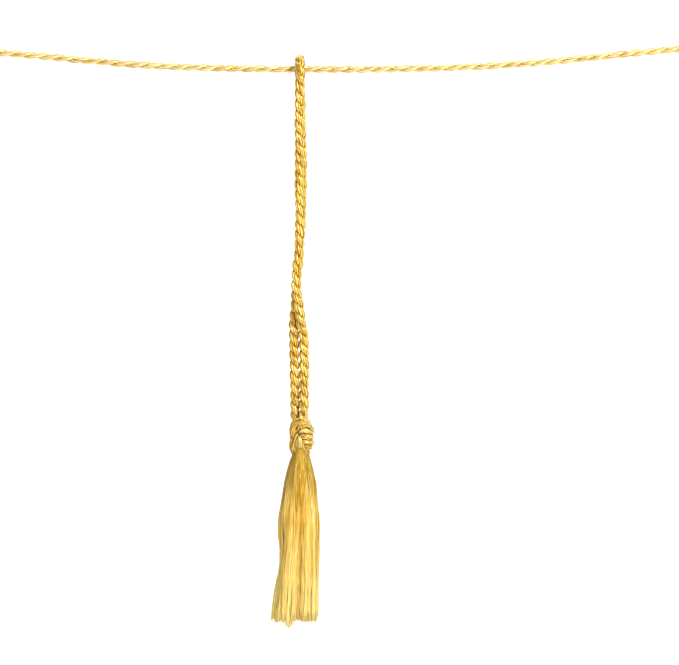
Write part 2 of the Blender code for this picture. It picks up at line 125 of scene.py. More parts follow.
# The plies and strands on the knot's front, measured from its middle: radius, how pale, and
# the route as x, depth behind the foremost surface, z. How pale is partly the threads' own
# tint and partly painted light: low values paint the shade on the knot's left, and full ones
# paint the highlights on the bright bands and strands on the right.
KNOT_FRONT = [
    (0.50, 0.12, [(2.0, 2.2, 3.3), (1.3, 1.1, 4.1), (0.2, 0.9, 4.5), (-1.3, 0.9, 4.2),
        (-2.4, 1.1, 3.3), (-2.85, 1.3, 1.8), (-2.9, 1.4, 0.5), (-2.7, 1.9, -0.6)]),
    (0.16, 0.55, [(1.1, 1.2, 4.5), (-0.2, 0.75, 4.65), (-1.6, 0.7, 4.2), (-2.6, 0.9, 3.2),
        (-3.05, 1.1, 1.9), (-3.1, 1.3, 0.8), (-2.9, 1.8, -0.1)]),
    (0.42, 0.15, [(2.7, 2.0, 2.0), (2.0, 1.0, 3.1), (0.9, 0.6, 3.6), (-0.5, 0.6, 3.4),
        (-1.6, 0.7, 2.6), (-2.05, 0.9, 1.5), (-2.05, 1.1, 0.4), (-2.2, 1.6, -0.6)]),
    (0.15, 1.00, [(1.2, 0.5, 3.9), (0.2, 0.15, 3.85), (-0.8, 0.1, 3.65), (-1.6, 0.25, 3.1),
        (-2.15, 0.5, 2.4)]),
    (0.20, 1.00, [(1.1, 0.4, 3.6), (0.3, 0.0, 3.35), (-0.45, 0.0, 2.75), (-0.85, 0.2, 2.0),
        (-0.95, 0.6, 1.2)]),
    (0.34, 0.20, [(-1.5, 1.6, 2.6), (-1.35, 0.9, 1.8), (-1.35, 0.9, 0.9), (-1.5, 1.5, 0.0)]),
    (0.60, 1.00, [(-0.9, 1.9, 0.6), (-0.6, 0.9, 1.6), (0.1, 0.3, 2.5), (0.95, 0.05, 2.85),
        (1.85, 0.3, 2.45), (2.55, 0.9, 1.85), (2.75, 2.2, 1.5), (2.3, 3.6, 1.2)]),
    (0.55, 1.00, [(0.6, 1.0, 5.5), (0.85, 0.05, 4.8), (1.15, -0.2, 4.1), (1.5, -0.15, 3.4),
        (1.9, 0.1, 2.75), (2.3, 0.6, 2.2), (2.6, 1.8, 1.7)]),
    (0.64, 1.00, [(-0.7, 1.9, 0.2), (-0.3, 0.7, 0.8), (0.5, 0.05, 1.35), (1.5, 0.0, 1.2),
        (2.4, 0.5, 0.95), (2.85, 1.7, 0.8), (2.7, 3.2, 0.7)]),
    (0.70, 1.00, [(-0.3, 1.6, -0.4), (0.2, 0.5, -0.35), (0.9, 0.0, -0.35), (1.7, -0.05, -0.4),
        (2.4, 0.6, -0.5), (2.7, 1.8, -0.6), (2.5, 3.2, -0.6)]),
    (0.64, 0.70, [(0.0, 1.6, -1.5), (0.5, 0.6, -1.6), (1.3, 0.2, -1.75), (2.3, 0.5, -1.95),
        (2.8, 1.5, -2.2), (2.7, 2.9, -2.2)]),
    (0.66, 0.40, [(0.2, 1.8, -2.4), (0.8, 0.9, -2.7), (1.5, 0.7, -2.95), (2.15, 1.2, -3.2),
        (2.2, 2.2, -3.4)]),
    (0.52, 0.60, [(0.7, 1.5, -2.9), (1.3, 0.8, -3.5), (1.75, 0.9, -4.1), (1.8, 1.3, -4.8),
        (1.4, 1.9, -5.6)]),
    (0.34, 0.85, [(0.4, 1.4, -2.8), (0.85, 0.6, -3.6), (1.2, 0.6, -4.4), (1.4, 0.9, -5.2),
        (1.4, 1.4, -6.0)]),
    (0.24, 1.00, [(-1.05, 1.6, 0.8), (-1.15, 0.5, 0.3), (-1.55, 0.35, -0.4), (-1.9, 0.4, -1.2),
        (-2.05, 0.6, -2.2), (-2.4, 0.7, -3.4), (-2.45, 0.8, -4.3), (-2.2, 1.2, -5.3)]),
    (0.34, 0.10, [(-1.0, 1.6, 0.2), (-1.25, 0.9, -0.8), (-1.55, 0.9, -2.2), (-1.7, 0.9, -3.6),
        (-1.6, 0.9, -5.0), (-1.5, 1.4, -6.0)]),
    (0.24, 0.60, [(-2.5, 1.6, 0.3), (-2.85, 1.3, -0.9), (-3.2, 1.3, -2.2), (-3.15, 1.3, -3.5),
        (-2.75, 1.3, -4.7), (-2.2, 1.6, -5.7)]),
    (0.30, 0.20, [(-2.3, 1.8, 0.2), (-2.5, 1.4, -0.9), (-2.7, 1.3, -2.2), (-2.6, 1.3, -3.6),
        (-2.1, 1.2, -4.9), (-1.8, 1.5, -5.8)]),
    (0.36, 0.15, [(-0.9, 1.9, -0.4), (-1.0, 1.0, -1.6), (-1.05, 0.8, -2.8), (-1.0, 0.8, -4.0),
        (-0.9, 1.0, -5.3)]),
    (0.38, 0.15, [(0.0, 1.9, -1.6), (0.2, 1.0, -2.4), (0.3, 0.8, -3.4), (0.4, 0.8, -4.5),
        (0.5, 1.3, -5.7)]),
    (0.54, 1.00, [(-0.65, 1.5, 0.2), (-0.6, 0.4, -0.5), (-0.45, 0.0, -1.4),
        (-0.4, -0.05, -2.4), (-0.42, 0.15, -3.1), (-0.45, 0.9, -3.8)]),
]
# The ellipsoid over which those depths are measured: half width, half depth, half height.
KNOT_BODY = (4.3, 2.95, 7.6)
# The distance between the points of a knot's plies, and of those on its front.
KNOT_STEP = 0.4
FRONT_STEP = 0.25
# The front's threads for each millimetre of a ply's radius, and the pitches at which they wind.
FRONT_THREADS = 34
FRONT_PITCHES = (14.0, 30.0)
# Where a knot's stub ends, from the knot's middle, and the gap between it and the cord.
STUB_END = (0.52, -0.65, 4.4)
PIECE_GAP = 0.3
# How far the line's ends run into the stubs of its knots.
LINE_END_COVER = 1.5

# The fringe, measured from the line's middle: z, middle x, half width, half depth.
FRINGE_SECTIONS = [
    (-102.2, -0.28, 1.10, 1.00),
    (-104.0, -0.20, 1.75, 1.60),
    (-106.0, -0.32, 2.55, 2.30),
    (-108.1, -0.46, 3.22, 2.85),
    (-111.5, -0.47, 3.95, 3.45),
    (-114.7, -0.48, 4.50, 3.95),
    (-120.9, -0.77, 5.20, 4.55),
    (-126.9, -1.02, 5.58, 4.90),
    (-133.0, -1.22, 5.90, 5.15),
    (-139.5, -1.43, 6.15, 5.35),
    (-149.6, -1.77, 6.42, 5.55),
]

# The heights at which each thread of the fringe is placed, above its cut end.
THREAD_HEIGHTS = [
    -102.2, -103.4, -105.0, -107.0, -109.5, -113.0, -118.0, -121.5,
    -124.5, -127.5, -131.0, -135.0, -139.5, -144.0, -147.0,
]
# The share of inner threads, how far out they lie at most, and, squared, how far the others do.
INNER_SHARE = 0.18
INNER_REACH = 0.8
OUTER_REACHES_SQUARED = (0.58, 1.0)
# Threads that lie further in than this have their tint cut to this share: painted shade for
# the threads that lie in the shade of the others.
SURFACE_REACH = 0.86
SHADED_TINT = 0.15
# Small locks in a large one, how uneven each kind is cut, and the range of their tints.
LOCKS_IN_BUNCH = 10
BUNCH_CUT = 0.28
LOCK_CUT = 0.32
LOCK_TINTS = (-0.65, 0.45)
# How far a thread gathers into its small lock and its large one, and how soon it does.
LOCK_PULL = 0.5
BUNCH_PULL = 0.2
SPREAD_RATE = 3.5
# How locks and threads wander: how often, in which layer of the noise, and how far.
BUNCH_WANDER = (0.05, 0.0, 0.5)
LOCK_WANDER = (0.09, 1.0, 0.5)
THREAD_WANDER = (0.10, 3.0, 0.26)
# The share of loose threads and how many times further they wander, how far threads swerve
# round the middle below the root, and how much of the uneven cut is a thread's own.
LOOSE_SHARE = 0.07
LOOSE_WANDER = 3.0
SWERVE = 0.16
THREAD_CUT = 0.35
# A thread's own tint: its middle, its range, and the part of its large lock's that is added.
THREAD_TINT = 0.43
OWN_TINTS = (-0.38, 0.36)
BUNCH_TINT = 0.1
# Beyond this share of the half width on the left the threads are paler by this much: painted
# light along the fringe's left edge.
PALE_EDGE = -0.6
PALE_GAIN = 0.2
# The tuft of longer threads at the front of the foot: its place, its size and its drop.
TUFT_PLACE = (-0.27, -0.88)
TUFT_SIZE = 0.13
TUFT_DROP = 1.9
# The lock that stands out on the left lies beyond this share of the half width and in front
# of this share of the half depth. The threads behind it, up to the second share, are darkened
# with painted shade.
SIDE_LOCK_EDGE = -0.86
SIDE_LOCK_BACK = 0.15
GAP_BACK = 0.5
# The fringe's left side shifts from this share of the half width on, fully after the blend.
SIDE_START = -0.55
SIDE_BLEND = 0.25
# The waist below the lock: its depth, its top and foot, and how gently it starts and ends.
WAIST_DEPTH = 1.2
WAIST_TOP = -121.0
WAIST_FOOT = -148.0
WAIST_FALL = 12.0
WAIST_RISE = 15.0
# The gap beside the lock: its width, its height and its reach up and down, and the shares of
# the width by which the lock in front and the threads behind it move.
GAP_WIDTH = 0.65
GAP_Z = -126.5
GAP_SPAN = 4.6
LOCK_SHARE = -0.55
BACK_SHARE = 0.1

# A cord's plies, in diameters: how far out they wind and their radius, which is more in the
# loop, and the pitch of their yarns. Also how much and how often they swell.
PLY_REACH = 0.2
PLY_RADIUS = 0.3
LOOP_PLY_RADIUS = 0.335
YARN_PITCH = 5.5
PLY_SWELL = 0.05
PLY_SWELL_RATE = 0.07
# The yarns of a ply and the depth of the dips between them, in cords and in knots.
CORD_YARNS = (6, 0.28)
KNOT_YARNS = (7, 0.24)
# The loose threads' radii, on a cord of this diameter and on knot plies as thick as this, and
# their tints on a cord.
LOOP_DIAMETER = 2.6
LOOSE_RADII = (0.06, 0.13)
FULL_PLY = 1.3
LOOSE_KNOT_RADII = (0.07, 0.16)
THREAD_TINTS = [0.0, 0.2, 0.5, 0.85, 1.0]

# The steps in each span of a smooth route, and the points in each turn of the plies.
CORD_SMOOTHING = 12
KNOT_SMOOTHING = 8
LINE_TURN_POINTS = 14
LOOP_TURN_POINTS = 12

# Stray filaments on the loop, the line and the knot, their lengths and their radii.
STRAYS = (380, 200, 160)
STRAY_STEP = 0.5
STRAY_LENGTHS = (0.6, 2.4)
STRAY_RADII = (0.012, 0.024)
HAIR_POINTS = 6

# How many ways each point is probed for the shade painted into its crevice, and how far on a
# cord and on the knot.
CREVICE_PROBES = 12
CREVICE_REACH = 0.9
KNOT_CREVICE_REACH = CREVICE_REACH * 0.75
# How much the dip between two yarns of a ply adds to the crevice's painted shade.
DIP_SHADE = 1.15

# The seed of the noise by which threads wander: without one it differs from run to run.
NOISE_SEED = 5

# The lamps' colours.
WHITE = (1.0, 1.0, 1.0)
WARM = (1.0, 0.84, 0.55)

# What the silk's surface has all over.
SILK_SURFACE = {
    "Metallic": 0.45,
    "Specular IOR Level": 0.18,
    "Specular Tint": (1.0, 0.85, 0.45, 1.0),
    "Sheen Weight": 0.06,
    "Sheen Roughness": 0.4,
    "Sheen Tint": (1.0, 0.8, 0.35, 1.0),
}
BUMP_DISTANCE = 0.1 * MM
# The colour of the shade painted on the silk where it leaves the knot, under the knot, where
# on its way down a thread loses it, and where it gets paler, and by how much.
ROOT_SHADE_COLOUR = (0.32, 0.195, 0.022, 1.0)
ROOT_SPAN = (3.0 * MM, 19.0 * MM)
TIP_SPAN = (18.0 * MM, 42.0 * MM)
TIP_PALE = 0.45
# How quickly the fine and the slow streaks change along a thread, for each metre, and how
# far apart two tints lie on the noise's first two axes.
FINE_RATE = 140.0
SLOW_RATE = 420.0
TINT_OFFSETS = (37.0, 57.0)

# The eye that ends the line, from its knot's middle: side, depth, outward distance.
EYE_ROUTE = [
    (-0.5, -0.2, 1.6), (-0.6, -0.3, 3.4), (-1.5, -0.4, 5.6), (-3.0, -0.5, 8.6),
    (-3.75, -0.5, 11.8), (-2.6, -0.5, 14.9), (0.4, -0.5, 16.2), (3.4, -0.5, 14.9),
    (4.55, -0.5, 11.8), (3.8, -0.5, 8.6), (2.3, -0.4, 5.6), (1.4, -0.3, 3.4),
    (1.3, -0.2, 1.6),
]


def length_setting(name, description, default, least):
    """A setting for a length, whose default and least value are given in millimetres."""
    return bpy.props.FloatProperty(
        name=name,
        description=description,
        default=default * MM,
        min=least * MM,
        subtype="DISTANCE",
        unit="LENGTH",
    )


def colour_setting(name, description, default):
    """A setting for a colour."""
    return bpy.props.FloatVectorProperty(
        name=name,
        description=description,
        default=(*default, 1.0),
        size=4,
        min=0.0,
        max=1.0,
        subtype="COLOR",
    )


def power_setting(name, description, default):
    """A setting for a lamp's power in watts."""
    return bpy.props.FloatProperty(
        name=name,
        description=description,
        default=default,
        min=0.0,
        unit="POWER",
    )


class CordSizes(bpy.types.PropertyGroup):
    """Sizes of the tassel's cord and of the line"""

    loop_diameter: length_setting(
        "Loop diameter", "Thickness over both plies of the tassel's cord", LOOP_DIAMETER, 0.5
    )
    loop_pitch: length_setting(
        "Loop pitch", "Length of one whole turn of the plies in the tassel's cord", 5.5, 1.0
    )
    line_diameter: length_setting(
        "Line diameter", "Thickness over both plies of the line", 2.0, 0.5
    )
    line_pitch: length_setting(
        "Line pitch", "Length of one whole turn of the plies in the line", 7.9, 1.0
    )
    knot_ply: length_setting(
        "Knot ply", "Thickness of one loosened ply in the knot", 1.32, 0.3
    )


class FringeSizes(bpy.types.PropertyGroup):
    """How the fringe is combed and cut"""

    locks: bpy.props.IntProperty(
        name="Locks",
        description="Locks into which the combed threads gather",
        default=400,
        min=LOCKS_IN_BUNCH,
    )
    threads: bpy.props.IntProperty(
        name="Threads",
        description="Threads in the fringe",
        default=3600,
        min=3,
    )
    thickness: length_setting(
        "Thread thickness", "Thickness of one thread of the fringe", 0.21, 0.02
    )
    uneven: length_setting("Uneven cut", "How far the cut ends are off level", 0.9, 0.0)


class SilkColours(bpy.types.PropertyGroup):
    """Colours of the silk, and of the shade painted into its crevices"""

    light: colour_setting("Light silk", "Colour of the palest threads", (1.00, 0.90, 0.38))
    middle: colour_setting("Gold silk", "Colour of most of the threads", (0.91, 0.60, 0.09))
    deep: colour_setting("Deep silk", "Colour of the darkest threads", (0.60, 0.29, 0.006))
    pale: colour_setting(
        "Pale silk", "Colour towards which the line's silk is bleached", (1.0, 0.93, 0.56)
    )
    # The crevice colour is painted shade, not the silk's own colour.
    shadow: colour_setting(
        "Painted crevice shade",
        "Shade painted on the silk deep between the plies and threads",
        (0.24, 0.065, 0.001),
    )


class StudioSettings(bpy.types.PropertyGroup):
    """The plain studio round the object"""

    floor: colour_setting(
        "Floor colour", "Colour of the floor and the backdrop", (0.92, 0.92, 0.91)
    )
    key: power_setting("Key light", "Power of the small lamp in front on the right", 10.0)
    fill: power_setting("Fill light", "Power of the warm lamp in front on the left", 1.6)
    backdrop: power_setting(
        "Backdrop light", "Power of the lamp that lights the backdrop", 60.0
    )


def smooth_rows(rows, steps):
    """Rows read from a Catmull-Rom curve that passes through every given row."""
    rows = [Vector(row) for row in rows]
    knots = [rows[0] * 2 - rows[1]] + rows + [rows[-1] * 2 - rows[-2]]
    result = []
    for before, start, end, after in zip(knots, knots[1:], knots[2:], knots[3:]):
        for i in range(steps):
            t = i / steps
            linear = (end - before) * t
            square = (before * 2 - start * 5 + end * 4 - after) * t * t
            cubic = (start * 3 - before - end * 3 + after) * t * t * t
            result.append((start * 2 + linear + square + cubic) / 2)
    return result + [rows[-1]]


def even_rows(rows, step):
    """Rows about one step apart along the path of their first three columns."""
    lengths = [0.0]
    for a, b in zip(rows, rows[1:]):
        lengths.append(lengths[-1] + (Vector(b[:3]) - Vector(a[:3])).length)
    count = max(2, round(lengths[-1] / step))
    result = []
    at = 0
    for i in range(count + 1):
        want = lengths[-1] * i / count
        while at < len(rows) - 2 and lengths[at + 1] < want:
            at += 1
        span = lengths[at + 1] - lengths[at]
        result.append(rows[at].lerp(rows[at + 1], (want - lengths[at]) / span))
    return result


def carried_frames(points):
    """A side and an up direction at each point, carried along the path without twist."""
    frames = []
    side = None
    for i, point in enumerate(points):
        along = (points[min(i + 1, len(points) - 1)] - points[max(i - 1, 0)]).normalized()
        if side is None:
            side = along.orthogonal()
        side = (side - along * side.dot(along)).normalized()
        frames.append((side, along.cross(side)))
    return frames


def wound(points, reach, pitch, start):
    """A path that winds round the given one, once for each pitch. A minus pitch winds as in S."""
    result = []
    run = 0.0
    last = points[0]
    for point, (side, up) in zip(points, carried_frames(points)):
        run += (point - last).length
        last = point
        angle = start + math.tau * run / pitch
        result.append(point + side * (reach * math.cos(angle)) + up * (reach * math.sin(angle)))
    return result


def lobed_outline(lobes, depth, draws, points_per_lobe=6):
    """An outline of radius one with rounded lobes of uneven width, one for each yarn."""
    widths = [draws.uniform(0.75, 1.3) for _ in range(lobes)]
    total = sum(widths)
    outline = []
    angle = 0.0
    for width in widths:
        span = math.tau * width / total
        for i in range(points_per_lobe):
            share = i / points_per_lobe
            reach = 1.0 - depth * (1.0 - math.sqrt(math.sin(math.pi * share)))
            turn = angle + span * share
            outline.append((reach * math.cos(turn), reach * math.sin(turn)))
        angle += span
    return outline


def round_outline(sides):
    return [
        (math.cos(math.tau * i / sides), math.sin(math.tau * i / sides))
        for i in range(sides)
    ]


class Thread:
    """One swept path: its points in millimetres, the radius and turn at each, and its tint."""

    def __init__(self, points, radii, tint, turn_pitch=None):
        self.points = points
        self.radii = radii if isinstance(radii, list) else [radii] * len(points)
        self.tint = tint
        self.turn_pitch = turn_pitch


def sweep(threads, outline):
    """One mesh of all the threads, with each one's tint and run kept as attributes."""
    guide_curve = bpy.data.curves.new("outline", "CURVE")
    guide_curve.dimensions = "2D"
    spline = guide_curve.splines.new("POLY")
    spline.points.add(len(outline) - 1)
    for point, (x, y) in zip(spline.points, outline):
        point.co = (x * MM, y * MM, 0.0, 1.0)
    spline.use_cyclic_u = True
    guide = bpy.data.objects.new("outline", guide_curve)
    bpy.context.collection.objects.link(guide)
    curve = bpy.data.curves.new("threads", "CURVE")
    curve.dimensions = "3D"
    curve.twist_mode = "MINIMUM"
    curve.bevel_mode = "OBJECT"
    curve.bevel_object = guide
    tints = []
    runs = []
    # The dip of each outline point, which later adds painted shade between the yarns.
    dips = [1.0 - math.hypot(x, y) for x, y in outline]
    for thread in threads:
        spline = curve.splines.new("POLY")
        spline.points.add(len(thread.points) - 1)
        run = 0.0
        last = thread.points[0]
        for point, place, radius in zip(spline.points, thread.points, thread.radii):
            run += (place - last).length
            last = place
            point.co = (*(place * MM), 1.0)
            point.radius = radius
            if thread.turn_pitch:
                point.tilt = math.tau * run / thread.turn_pitch
            tints.extend([thread.tint] * len(outline))
            runs.extend([run * MM] * len(outline))
    carrier = bpy.data.objects.new("threads", curve)
    bpy.context.collection.objects.link(carrier)
    bpy.context.view_layer.update()
    depsgraph = bpy.context.evaluated_depsgraph_get()
    mesh = bpy.data.meshes.new_from_object(carrier.evaluated_get(depsgraph))
    for spent in (carrier, guide):
        bpy.data.objects.remove(spent, do_unlink=True)
    dips *= len(tints) // len(outline)
    for name, values in (("tint", tints), ("run", runs), ("dip", dips)):
        layer = mesh.attributes.new(name, "FLOAT", "POINT")
        layer.data.foreach_set("value", values)
    return mesh


def probe_directions(count):
    """Directions spread evenly over the half sphere round +Z."""
    result = []
    for i in range(count):
        up = math.sqrt((i + 0.5) / count)
        out = math.sqrt(1.0 - up * up)
        turn = i * GOLDEN_ANGLE
        result.append(Vector((out * math.cos(turn), out * math.sin(turn), up)))
    return result


def paint_crevice_shade(shape, reach):
    """Keep at every vertex, as painted shade, how much of its surroundings is closed in within the
    reach.
    """
    layer = shape.verts.layers.float.new("crevice")
    dip = shape.verts.layers.float["dip"]
    tree = BVHTree.FromBMesh(shape)
    probes = probe_directions(CREVICE_PROBES)
    for vertex in shape.verts:
        turn = vertex.normal.to_track_quat("Z", "Y")
        start = vertex.co + vertex.normal * (reach * 0.02)
        closed = 0.0
        for probe in probes:
            hit = tree.ray_cast(start, turn @ probe, reach)
            if hit[3] is not None:
                closed += 1.0 - 0.5 * hit[3] / reach
        vertex[layer] = closed / CREVICE_PROBES + vertex[dip] * DIP_SHADE


def make_piece(name, meshes, material, replaced, crevice_reach=0.0):
    """One closed piece of the given meshes, which stands for the named CAD nodes."""
    shape = bmesh.new()
    for mesh in meshes:
        shape.from_mesh(mesh)
        bpy.data.meshes.remove(mesh)
    open_edges = [edge for edge in shape.edges if edge.is_boundary]
    bmesh.ops.holes_fill(shape, edges=open_edges)
    bmesh.ops.recalc_face_normals(shape, faces=shape.faces)
    # The crevice value darkens the colour there with painted shade.
    if crevice_reach:
        shape.normal_update()
        paint_crevice_shade(shape, crevice_reach * MM)
    mesh = bpy.data.meshes.new(name)
    shape.to_mesh(mesh)
    shape.free()
    mesh.shade_smooth()
    mesh.materials.append(material)
    piece = bpy.data.objects.new(name, mesh)
    bpy.context.scene.collection.objects.link(piece)
    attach(piece, BODY)
    if replaced:
        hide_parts(*replaced)
    return piece


def add_node(tree, kind, place, links=(), **values):
    """A shader node with its settings, its plain socket values and its incoming links."""
    node = tree.nodes.new(kind)
    node.location = place
    for key, value in values.items():
        if key.startswith("in_"):
            node.inputs[int(key[3:])].default_value = value
        else:
            setattr(node, key, value)
    for socket, source in links:
        tree.links.new(source, node.inputs[socket])
    return node


def math_value(tree, operation, place, links, **values):
    """The result of a sum on the linked and the plain values."""
    node = add_node(tree, "ShaderNodeMath", place, links, operation=operation, **values)
    return node.outputs[0]


def mapped(tree, place, source, span, result):
    """The source's value moved from one span to another, and held inside it."""
    node = add_node(
        tree, "ShaderNodeMapRange", place, [(0, source)],
        in_1=span[0], in_2=span[1], in_3=result[0], in_4=result[1],
    )
    return node.outputs[0]


def mixed(tree, place, share, first, second):
    """The first colour turned towards the second by the share."""
    node = add_node(
        tree, "ShaderNodeMix", place, [(0, share), (6, first), (7, second)], data_type="RGBA"
    )
    return node.outputs[2]


def streaks(tree, place, links, scale, detail, roughness):
    """Noise at the linked place in the silk."""
    point = add_node(tree, "ShaderNodeCombineXYZ", (place[0] - 180, place[1] - 90), links)
    node = add_node(
        tree, "ShaderNodeTexNoise", place, [("Vector", point.outputs[0])],
        noise_dimensions="3D", in_2=scale, in_3=detail, in_4=roughness,
    )
    return node.outputs["Fac"]


def fibre_group():
    """Streaks along the fibres: their colour, gloss and relief, from tint, run and turn,
    with painted shade near the root and in the crevices.
    """
    group = bpy.data.node_groups.get("silk fibres")
    if group:
        return group
    group = bpy.data.node_groups.new("silk fibres", "ShaderNodeTree")
    for side, kind, names in (
        ("INPUT", "Float", ("Tint", "Run", "Around", "Fineness", "Root shade", "Crevice")),
        ("INPUT", "Color", ("Light", "Middle", "Deep", "Shadow")),
        ("OUTPUT", "Color", ("Color",)),
        ("OUTPUT", "Float", ("Roughness", "Height")),
    ):
        for name in names:
            group.interface.new_socket(name, in_out=side, socket_type="NodeSocket" + kind)
    start = add_node(group, "NodeGroupInput", (-1400, 0)).outputs
    turn = math_value(group, "MULTIPLY", (-1200, 200), [(0, start["Around"])], in_1=math.tau)
    shifts = []
    for operation, y, offset in zip(("COSINE", "SINE"), (260, 120), TINT_OFFSETS):
        wave = math_value(group, operation, (-1040, y), [(0, turn)])
        spread = math_value(group, "MULTIPLY", (-880, y), [(0, wave), (1, start["Fineness"])])
        links = [(0, start["Tint"]), (2, spread)]
        shifts.append(math_value(group, "MULTIPLY_ADD", (-720, y), links, in_1=offset))
    run = [(0, start["Run"])]
    fine_run = math_value(group, "MULTIPLY", (-720, -60), run, in_1=FINE_RATE)
    links = [(0, shifts[0]), (1, shifts[1]), (2, fine_run)]
    fine = streaks(group, (-380, 220), links, 1.0, 3.0, 0.6)
    slow_run = math_value(group, "MULTIPLY", (-720, -260), run, in_1=SLOW_RATE)
    slow = streaks(group, (-380, -120), [(0, shifts[1]), (2, slow_run)], 0.35, 2.0, 0.5)
    share = mapped(group, (-180, 260), fine, (0.42, 0.68), (0.0, 0.9))
    colour = mixed(group, (20, 200), share, start["Middle"], start["Light"])
    share = mapped(group, (-180, -60), slow, (0.58, 0.34), (0.0, 0.55))
    colour = mixed(group, (200, 120), share, colour, start["Deep"])
    share = mapped(group, (20, -160), start["Tint"], (0.45, 0.0), (0.0, 0.8))
    colour = mixed(group, (380, 60), share, colour, start["Deep"])
    share = mapped(group, (200, -160), start["Tint"], (0.65, 1.0), (0.0, 0.8))
    colour = mixed(group, (560, -100), share, colour, start["Light"])
    # Near the root the colour turns to the root shade colour: painted shade under the knot.
    near_root = mapped(group, (380, -300), start["Run"], ROOT_SPAN, (1.0, 0.0))
    links = [(0, near_root), (1, start["Root shade"])]
    share = math_value(group, "MULTIPLY", (560, -300), links)
    rooted = add_node(
        group, "ShaderNodeMix", (740, -100), [(0, share), (6, colour)],
        data_type="RGBA", in_7=ROOT_SHADE_COLOUR,
    )
    near_tip = mapped(group, (560, -560), start["Run"], TIP_SPAN, (0.0, TIP_PALE))
    links = [(0, near_tip), (1, start["Root shade"])]
    share = math_value(group, "MULTIPLY", (740, -560), links)
    colour = mixed(group, (920, -100), share, rooted.outputs[2], start["Light"])
    # The crevice value turns the colour towards the shadow colour: painted shade.
    share = mapped(group, (920, -300), start["Crevice"], (0.15, 0.56), (0.0, 1.0))
    colour = mixed(group, (1100, -100), share, colour, start["Shadow"])
    gloss = mapped(group, (20, -360), fine, (0.3, 0.7), (0.42, 0.24))
    add_node(group, "NodeGroupOutput", (1280, 0), [(0, colour), (1, gloss), (2, fine)])
    return group


def toward(colour, target, share):
    return [a + (b - a) * share for a, b in zip(colour, target)]


def silk_material(name, fineness, relief, root_shade=0.0, pale=0.0):
    """Gold silk whose streaks follow the threads, with painted shade in its crevices and, on the
    fringe, near the root.
    """
    colours = bpy.context.scene.tassel_silk
    material = bpy.data.materials.new(name)
    material.use_nodes = True
    tree = material.node_tree
    shader = tree.nodes["Principled BSDF"]
    spread = add_node(tree, "ShaderNodeUVMap", (-1100, -200), uv_map="UVMap")
    split = add_node(tree, "ShaderNodeSeparateXYZ", (-900, -200), [(0, spread.outputs[0])])
    links = [("Around", split.outputs[1])]
    # The crevice attribute carries the painted crevice shade.
    for key, y in (("tint", 200), ("run", 0), ("crevice", -380)):
        kept = add_node(tree, "ShaderNodeAttribute", (-900, y), attribute_name=key)
        links.append((key.capitalize(), kept.outputs["Fac"]))
    fibres = add_node(tree, "ShaderNodeGroup", (-600, 100), links, node_tree=fibre_group())
    fibres.inputs["Fineness"].default_value = fineness
    fibres.inputs["Root shade"].default_value = root_shade
    for key, colour, share in (
        ("Light", colours.light, 1.0),
        ("Middle", colours.middle, 0.8),
        ("Deep", colours.deep, 0.4),
        ("Shadow", colours.shadow, 0.35),
    ):
        fibres.inputs[key].default_value = toward(colour, colours.pale, pale * share)
    links = [("Height", fibres.outputs["Height"])]
    bump = add_node(tree, "ShaderNodeBump", (-300, -200), links)
    bump.inputs["Strength"].default_value = relief
    bump.inputs["Distance"].default_value = BUMP_DISTANCE
    tree.links.new(fibres.outputs["Color"], shader.inputs["Base Color"])
    tree.links.new(fibres.outputs["Roughness"], shader.inputs["Roughness"])
    tree.links.new(bump.outputs["Normal"], shader.inputs["Normal"])
    for socket, value in SILK_SURFACE.items():
        shader.inputs[socket].default_value = value
    return material


def cord_threads(points, diameter, pitch, draws, loose, ply_radius=PLY_RADIUS):
    """The two plies of a cord along the points, and the loose threads on their surface."""
    radius = diameter * ply_radius
    yarn_pitch = diameter * YARN_PITCH
    plies = []
    threads = []
    for start in (0.0, math.pi):
        middle = wound(points, diameter * PLY_REACH, -pitch, start)
        wobble = draws.uniform(0.0, 50.0)
        radii = []
        for i in range(len(middle)):
            swell = noise.noise(Vector((wobble, i * PLY_SWELL_RATE, 0.0)))
            radii.append(radius * (1.0 + PLY_SWELL * swell))
        plies.append(Thread(middle, radii, draws.uniform(0.4, 0.6), yarn_pitch))
        for _ in range(loose):
            drift = draws.uniform(0.85, 1.25)
            place = radius * draws.uniform(0.86, 0.99)
            path = wound(middle, place, yarn_pitch * drift, draws.uniform(0.0, math.tau))
            thick = draws.uniform(*LOOSE_RADII) * diameter / LOOP_DIAMETER
            threads.append(Thread(path, thick, draws.choice(THREAD_TINTS)))
    return plies, threads


def silk_meshes(plies, threads, yarns, draws):
    """The meshes of plies with their yarns and of the loose threads on them."""
    return [sweep(plies, lobed_outline(*yarns, draws)), sweep(threads, round_outline(4))]


def cord_piece(name, points, cord, draws, material, node, ply_radius=PLY_RADIUS):
    """The piece of a cord of the given diameter and pitch, which stands for a CAD node."""
    plies, threads = cord_threads(points, *cord, draws, loose=6, ply_radius=ply_radius)
    meshes = silk_meshes(plies, threads, CORD_YARNS, draws)
    return make_piece(name, meshes, material, [node], CREVICE_REACH)


def knot_plies(scale, spread=1.0):
    """The middles of the knot's four plies, about the knot's middle."""
    rows = even_rows(smooth_rows(KNOT_ROUTE, KNOT_SMOOTHING), KNOT_STEP)
    paths = [[] for _ in PLY_PLACES]
    for i, row in enumerate(rows):
        before = Vector(rows[max(i - 1, 0)][:3])
        after = Vector(rows[min(i + 1, len(rows) - 1)][:3])
        along = (after - before).normalized()
        across = Vector(row[3:6])
        across = (across - along * across.dot(along)).normalized()
        normal = along.cross(across)
        flat = row[6]
        for path, (bundle_u, bundle_v, band_u) in zip(paths, PLY_PLACES):
            u = bundle_u + (band_u - bundle_u) * flat
            v = bundle_v * (1 - flat)
            offset = (across * u + normal * v) * KNOT_PLY_SPACING * spread
            path.append((Vector(row[:3]) + offset) * scale)
    return paths


